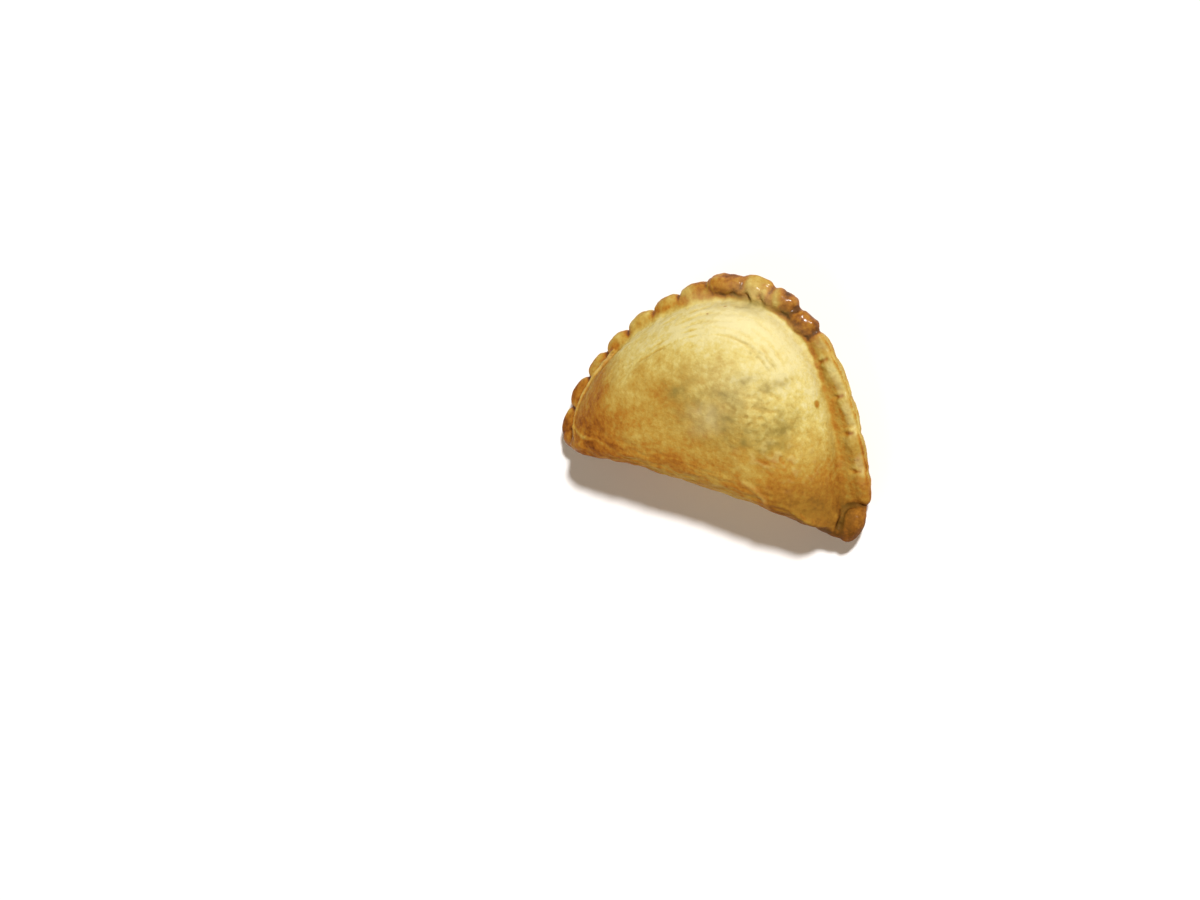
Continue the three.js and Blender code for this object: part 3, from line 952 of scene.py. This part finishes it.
def face_bake(crust):
    """Browning of the face and the fold, with the pale flank below the pleats, painted light in the middle of
    the fold and painted shade at its ends
    """
    left = read_off(crust.y, LEFT_BAKE) + LEFT_END_BAKE * smooth(-crust.x, 10, 40)
    bake = blend(left, read_off(crust.y, RIGHT_BAKE), smooth(crust.x, 2, 30))
    at_fold = smooth(crust.facing_fold, 0.3, 0.7) * (1 - smooth(crust.y, 8, 16))
    bake = blend(bake, read_off(crust.x, FOLD_BAKE_LIGHT_AND_SHADE), at_fold)
    # Painted shade: the fold is darker low down towards its two ends, where it lies in shade
    low_ends = (1 - smooth(crust.z, 14, 24)) * smooth(np.abs(crust.x - 8), 12, 30)
    bake = bake + LOW_FOLD_SHADE * at_fold * low_ends
    for x, y, length, width, degrees, change in BAKE_PATCHES:
        bake = bake + change * oval(crust.places, x, y, length, width, degrees)
    towards_top = smooth(EDGE.outward(crust.along) @ np.array([0.35, 0.94]), 0.0, 0.6)
    loose_inset = crust.inset + 1.5 * uneven(crust.places, 9, 21)
    flank = (1 - smooth(loose_inset, 14.0, 20.0)) * towards_top * within(crust.along, *PALE_FLANK)
    bake = blend(bake, read_off(crust.along, FLANK_BAKE), flank)
    return bake + STRETCH_BAKE * stretch_lines(crust)


def rim_bake(crust):
    """Browning of the pleats, darker at the outer side, and darker in the notches, partly browning and partly
    painted shade
    """
    inset = crust.inset
    # Painted shade in the notches between the pleats, together with their browning
    notch = crust.at_notches(0.8) * blend(0.6, smooth(inset, 2.6, 4.0), crust.on_pads)
    notch = notch * smooth(crust.square, *FIRST_NOTCH)
    outer_side = 1 - smooth(inset, 0.3, 2.4)
    ropes = within(crust.along, *BROWN_ROPES) * blend(*ROPE_BAKES, smooth(inset, 3.5, 5.5))
    patches = RIM_PATCH_BAKE * uneven(crust.places, 4.5, 23)
    bake = read_off(crust.along, RIM_BAKE) + OUTER_SIDE_BAKE * outer_side + NOTCH_BAKE_AND_SHADE * notch
    return bake + patches + ropes


def in_valley(crust):
    """1 in the valley between the pleats and the flank, on the right side"""
    inner = read_off(crust.along, VALLEY_INSETS) + 0.6 * uneven(crust.places, 3, 24)
    across = smooth(crust.inset, 6.2, 7.4) * (1 - smooth(crust.inset, inner, inner + 0.9))
    on_right = crust.on_pleats * (1 - smooth(crust.along, *VALLEY_END))
    return across * on_right * (1 - smooth(crust.z, 13, 16))


def on_ball(crust):
    """1 on the ball at the right corner"""
    near = oval(crust.places, *BALL_PLACE) * (1 - smooth(crust.z, 14.0, 16.0))
    return smooth(near, 0.2, 0.5)


def line_bake(crust):
    """Change of browning along the lines of the crust, with painted shade in the crease round the corner ball
    and in the crease outside the pads
    """
    # Painted shade in the crease round the corner ball
    change = BALL_CREASE_SHADE * near_path(crust.places, BALL_CREASE, BALL_CREASE_WIDTH, BALL_CREASE_FADE)
    change += STREAK_BAKE * streaks(crust) + FOLD_LINE_BAKE * near_path(crust.places, FOLD_LINE, 0.7)
    # Painted shade along the crease between the pads and the outer sheet
    crease_shade = fine_line(crust.inset, 1.7, 0.4) * within(crust.along, *OUTER_CREASE_SHADE_SPAN)
    return change + OUTER_CREASE_SHADE * crease_shade * (crust.facing_up > 0.3)


def baked(crust, on_rim, lip, hollows):
    """How far each place is baked, from pale dough at 0 to dark at 1, with painted shade in hollows, notches
    and creases
    """
    bake = blend(face_bake(crust), rim_bake(crust), on_rim)
    *pale_place, change = PALE_ROPE_END
    bake = bake + change * oval(crust.places, *pale_place)
    bake = blend(bake, read_off(crust.along, VALLEY_BAKE), 0.9 * in_valley(crust))
    bake = blend(bake, BALL_BAKE, on_ball(crust))
    bake = blend(bake, LIP_BAKE, 0.8 * lip)
    bake = bake + line_bake(crust)
    # Painted shade in the hollows, together with their browning, and paler ridges
    bake = bake + hollows * blend(0.6, blend(1.0, 0.5, crust.on_pads), on_rim)
    for spot, size, spot_bake in SPOTS:
        away = np.linalg.norm(crust.places - np.array(spot), axis=1)
        bake = blend(bake, spot_bake, 1 - smooth(away, 0.5 * size, 1.2 * size))
    return blend(bake, BASE_BAKE, 1 - smooth(crust.z, 0.3, 4.0))


def moistness_and_shade(crust):
    """Places where the filling's moisture shows through, the bottoms of the cracks, and under the petals a
    patch that is partly moisture and partly painted shade
    """
    *middle, share = MOIST_MIDDLE
    moist_and_shaded = share * oval(crust.places, *middle)
    for *place, share in MOIST_PLACES:
        moist_and_shaded = moist_and_shaded + share * oval(crust.loose, *place, MOIST_TURN)
    *under_petals, share = MOIST_AND_SHADE_UNDER_PETALS
    moist_and_shaded = moist_and_shaded + share * oval(crust.loose, *under_petals)
    moist_and_shaded = moist_and_shaded * (1 + MOIST_UNEVENNESS * uneven(crust.loose, 3.0, 26))
    moist_and_shaded = moist_and_shaded + MOIST_CRINKLES * crinkles(crust)
    for crack in CRACKS:
        moist_and_shaded = moist_and_shaded + MOIST_CRACKS * near_path(crust.jagged, crack, MOIST_CRACK_WIDTH)
    return moist_and_shaded


def flouriness(crust, lip):
    """Pale floury places: the upper flank, ridges, flakes, the lip and the tops of the pads"""
    flour = sum(share * oval(crust.places, *place) for *place, share in FLOURY_PLACES)
    patchy = smooth(uneven(crust.loose, 3.0, 27), -0.3, 0.5)
    ridge = blend(0.55, 1, patchy) * near_path(crust.places, PALE_RIDGE, 6.0, 6.0)
    upper_flank = within(crust.along, *FLOURY_FLANK) * within(crust.inset, 8.4, 10.0, 14.0, 20.0)
    flour = flour + RIDGE_FLOUR * ridge + FLANK_FLOUR * upper_flank + FLAKE_FLOUR * flakes(crust)
    flour = flour + LIP_FLOUR * lip + TUCK_FLOUR * near_path(crust.loose, TUCK, 0.8)
    pad_tops = crust.on_pads * within(crust.inset, 2.0, 2.8, 4.6, 5.8) * smooth(crust.along, 4, 12)
    return flour + PAD_FLOUR * pad_tops * smooth(uneven(crust.places, 4.5, 28), -0.4, 0.3)


def painted_dull_shade(crust):
    """Painted shade, dull and darker, low on the right and, weaker, on the ball"""
    low_right = oval(crust.places, *DULL_SHADE_PLACE) * smooth(crust.facing_up, -0.1, 0.5)
    return np.maximum(DULL_SHADE_SHARE * low_right, DULL_SHADE_BALL * on_ball(crust))


def browning(piece):
    """Keep in the mesh how far each place is baked and how moist, glazed and floury it is, and where dull
    shade is painted; bake and moist also carry painted shade
    """
    crust = Crust(piece)
    fade = (read_off(crust.along, RIM_FADE_START), read_off(crust.along, RIM_FADE_END))
    on_rim = crust.on_pleats * (1 - smooth(crust.inset, *fade))
    lip = near_path(crust.places, LIP, 0.9)
    finishes = {
        "bake": baked(crust, on_rim, lip, hollow_bake_and_shade(piece)),
        "moist_and_shaded": moistness_and_shade(crust),
        "glaze": on_rim * read_off(crust.along, GLAZE) * (1 - smooth(crust.inset, 5.0, 7.0)),
        "flour": flouriness(crust, lip),
        "dull_shade": painted_dull_shade(crust),
    }
    for name, values in finishes.items():
        layer = piece.data.attributes.new(name, "FLOAT", "POINT")
        layer.data.foreach_set("value", np.clip(values, 0, 1).astype(np.float32))


# Crust material

BAKE_COLOURS = [
    (0.00, (0.62, 0.53, 0.24)),
    (0.15, (0.57, 0.45, 0.135)),
    (0.30, (0.48, 0.33, 0.075)),
    (0.45, (0.42, 0.25, 0.042)),
    (0.60, (0.38, 0.170, 0.020)),
    (0.72, (0.32, 0.118, 0.012)),
    (0.86, (0.20, 0.062, 0.007)),
    (1.00, (0.09, 0.027, 0.004)),
]
# The moist colour also serves as painted shade under the petals
MOIST_AND_SHADE_COLOUR = (0.26, 0.182, 0.038)
DULL_SHADE_COLOUR = (0.20, 0.115, 0.016)
FLOUR_COLOUR = (0.66, 0.58, 0.31)
# Speckle: size in millimetres, detail and roughness
MOTTLE = (9.0, 5.0, 0.6)
PATCHES = (3.6, 3.0, 0.55)
FINE_SPECKLE = (1.6, 3.0, 0.6)
GRAIN = (0.9, 4.0, 0.6)
# How much the speckle changes the browning, and how it breaks up the moist places
MOTTLE_BAKE = 0.5
PATCHES_BAKE = 0.4
FINE_BAKE = 0.48
MOIST_BREAKS = 2.4
MOIST_SHARE = 0.9
GRAIN_STRENGTH = 0.6
GRAIN_DEPTH = 0.5  # millimetres
CRUST_SHINE = 0.04
CRUST_ROUGHNESS = 0.62
GLAZE_ROUGHNESS = 0.2
GLAZE_SMOOTHING = 0.25
GLAZE_COAT = 0.35


class CrustFinish:
    """Short ways to add and link the nodes of the crust's material"""

    def __init__(self, material):
        material.use_nodes = True
        self.nodes = material.node_tree.nodes
        self.links = material.node_tree.links
        self.shader = self.nodes["Principled BSDF"]
        self.place = self.nodes.new("ShaderNodeTexCoord").outputs["Object"]

    def attribute(self, name):
        made = self.nodes.new("ShaderNodeAttribute")
        made.attribute_name = name
        return made.outputs["Fac"]

    def reckon(self, operation, first, second):
        """A sum, difference or product of sockets and numbers"""
        made = self.nodes.new("ShaderNodeMath")
        made.operation = operation
        for socket, value in zip(made.inputs, (first, second)):
            if hasattr(value, "is_output"):
                self.links.new(value, socket)
            else:
                socket.default_value = value
        return made.outputs[0]

    def speckle(self, size, detail, roughness):
        made = self.nodes.new("ShaderNodeTexNoise")
        made.inputs["Scale"].default_value = 1 / (size * MM)
        made.inputs["Detail"].default_value = detail
        made.inputs["Roughness"].default_value = roughness
        self.links.new(self.place, made.inputs["Vector"])
        return made.outputs["Fac"]

    def centred_speckle(self, size, detail, roughness):
        """Speckle that is 0 on average"""
        return self.reckon("SUBTRACT", self.speckle(size, detail, roughness), 0.5)

    def colours(self, share, stops):
        made = self.nodes.new("ShaderNodeValToRGB")
        made.color_ramp.interpolation = "LINEAR"
        elements = made.color_ramp.elements
        while len(elements) < len(stops):
            elements.new(1.0)
        for element, (position, colour) in zip(elements, stops):
            element.position = position
            element.color = (*colour, 1)
        self.links.new(share, made.inputs["Fac"])
        return made.outputs["Color"]

    def mix(self, share, first, second):
        """A colour socket that passes into a fixed second colour"""
        made = self.nodes.new("ShaderNodeMix")
        made.data_type = "RGBA"
        self.links.new(share, made.inputs[0])
        self.links.new(first, made.inputs[6])
        made.inputs[7].default_value = (*second, 1)
        return made.outputs[2]


def crust_material():
    """Golden crust: colour from its browning with speckle, moist places with painted shade under the petals,
    painted dull shade, floury places, and glaze
    """
    material = bpy.data.materials.new("golden_crust")
    finish = CrustFinish(material)
    link = finish.links.new
    surface = finish.shader.inputs
    surface["Specular IOR Level"].default_value = CRUST_SHINE
    surface["Coat Roughness"].default_value = GLAZE_ROUGHNESS

    mottle = finish.centred_speckle(*MOTTLE)
    patches = finish.centred_speckle(*PATCHES)
    fine = finish.centred_speckle(*FINE_SPECKLE)
    bake = finish.attribute("bake")
    for speckle, strength in [(mottle, MOTTLE_BAKE), (patches, PATCHES_BAKE), (fine, FINE_BAKE)]:
        bake = finish.reckon("ADD", bake, finish.reckon("MULTIPLY", speckle, strength))
    colour = finish.colours(bake, BAKE_COLOURS)
    broken_up = finish.reckon("ADD", finish.reckon("MULTIPLY", patches, MOIST_BREAKS), MOIST_SHARE)
    moist_and_shaded = finish.reckon("MULTIPLY", finish.attribute("moist_and_shaded"), broken_up)
    colour = finish.mix(moist_and_shaded, colour, MOIST_AND_SHADE_COLOUR)
    # Painted shade: the dull darker colour low on the right and on the ball
    colour = finish.mix(finish.attribute("dull_shade"), colour, DULL_SHADE_COLOUR)
    colour = finish.mix(finish.attribute("flour"), colour, FLOUR_COLOUR)
    link(colour, surface["Base Color"])

    glaze = finish.attribute("glaze")
    smoothing = finish.reckon("MULTIPLY", glaze, GLAZE_SMOOTHING)
    link(finish.reckon("SUBTRACT", CRUST_ROUGHNESS, smoothing), surface["Roughness"])
    link(finish.reckon("MULTIPLY", glaze, GLAZE_COAT), surface["Coat Weight"])
    grain = finish.nodes.new("ShaderNodeBump")
    grain.inputs["Strength"].default_value = GRAIN_STRENGTH
    grain.inputs["Distance"].default_value = GRAIN_DEPTH * MM
    link(finish.speckle(*GRAIN), grain.inputs["Height"])
    link(grain.outputs["Normal"], surface["Normal"])
    return material


# Studio

FLOOR_SIZE = 6.0
PAPER_COLOUR = (0.94, 0.93, 0.93, 1)
PAPER_ROUGHNESS = 0.9
ROOM_COLOUR = (1, 0.86, 0.72, 1)
ROOM_STRENGTH = 0.13


def studio():
    """A floor of white paper, a pale room, a key light and a broad warm fill"""
    bpy.ops.object.select_all(action="DESELECT")
    bpy.ops.mesh.primitive_plane_add(size=FLOOR_SIZE, location=(0, 0, 0))
    floor = bpy.context.object
    floor.name = "floor"
    paper = bpy.data.materials.new("white_paper")
    paper.use_nodes = True
    shader = paper.node_tree.nodes["Principled BSDF"]
    shader.inputs["Base Color"].default_value = PAPER_COLOUR
    shader.inputs["Roughness"].default_value = PAPER_ROUGHNESS
    shader.inputs["Specular IOR Level"].default_value = 0.0
    floor.data.materials.append(paper)

    world = bpy.data.worlds.new("white_room")
    bpy.context.scene.world = world
    world.use_nodes = True
    room = world.node_tree.nodes["Background"]
    room.inputs["Color"].default_value = ROOM_COLOUR
    room.inputs["Strength"].default_value = ROOM_STRENGTH
    lamp("key", (1, 1, 1), azimuth=64, elevation=46, spread=5, strength=4.2)
    lamp("fill", (1, 0.80, 0.58), azimuth=-115, elevation=22, spread=60, strength=1.65)


def lamp(name, colour, azimuth, elevation, spread, strength):
    """A far light at a compass angle from +X towards +Y, whose shadows are softer the wider its spread"""
    azimuth = math.radians(azimuth)
    elevation = math.radians(elevation)
    flat = math.cos(elevation)
    direction = Vector((flat * math.cos(azimuth), flat * math.sin(azimuth), math.sin(elevation)))
    light = bpy.data.lights.new(name, "SUN")
    light.color = colour
    light.energy = strength
    light.angle = math.radians(spread)
    stand = bpy.data.objects.new(name, light)
    stand.location = direction
    stand.rotation_euler = direction.to_track_quat("Z", "Y").to_euler()
    bpy.context.collection.objects.link(stand)


# Camera: the photo's viewing angle, with the picture's right and up in the part's frame
TO_CAMERA = Vector((0.38, 0.33, 0.864))
PICTURE_RIGHT = Vector((0.878, 0.166, -0.449))
PICTURE_UP = Vector((-0.292, 0.929, -0.226))
CAMERA_DISTANCE = 1.3
PICTURE_WIDTH = 0.416  # metres across the picture at the part
FOLD_POINT = (Vector((-0.14, -1.87, 10.0)) + Vector(BENCH_TO_FRAME)) * MM  # middle of the fold
FOLD_POINT_RIGHT = 0.03833  # it shows this far right of the picture's middle
FOLD_POINT_BELOW = 0.01439  # and this far below it
SENSOR_WIDTH = 36.0


def camera():
    lens = bpy.data.cameras.new("camera")
    lens.sensor_width = SENSOR_WIDTH
    lens.lens = SENSOR_WIDTH * CAMERA_DISTANCE / PICTURE_WIDTH
    eye = bpy.data.objects.new("camera", lens)
    middle = FOLD_POINT - PICTURE_RIGHT * FOLD_POINT_RIGHT + PICTURE_UP * FOLD_POINT_BELOW
    turn = Matrix((PICTURE_RIGHT, PICTURE_UP, TO_CAMERA)).transposed().to_4x4()
    eye.matrix_world = Matrix.Translation(middle + TO_CAMERA * CAMERA_DISTANCE) @ turn
    bpy.context.collection.objects.link(eye)
    bpy.context.scene.camera = eye


camera()
studio()
bpy.context.scene.view_settings.view_transform = "Standard"
empanada = raw_empanada()
relief(empanada)
browning(empanada)
empanada.data.materials.clear()
empanada.data.materials.append(crust_material())
only(empanada)
bpy.ops.object.shade_smooth()
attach(empanada, "root")
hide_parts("empanada")
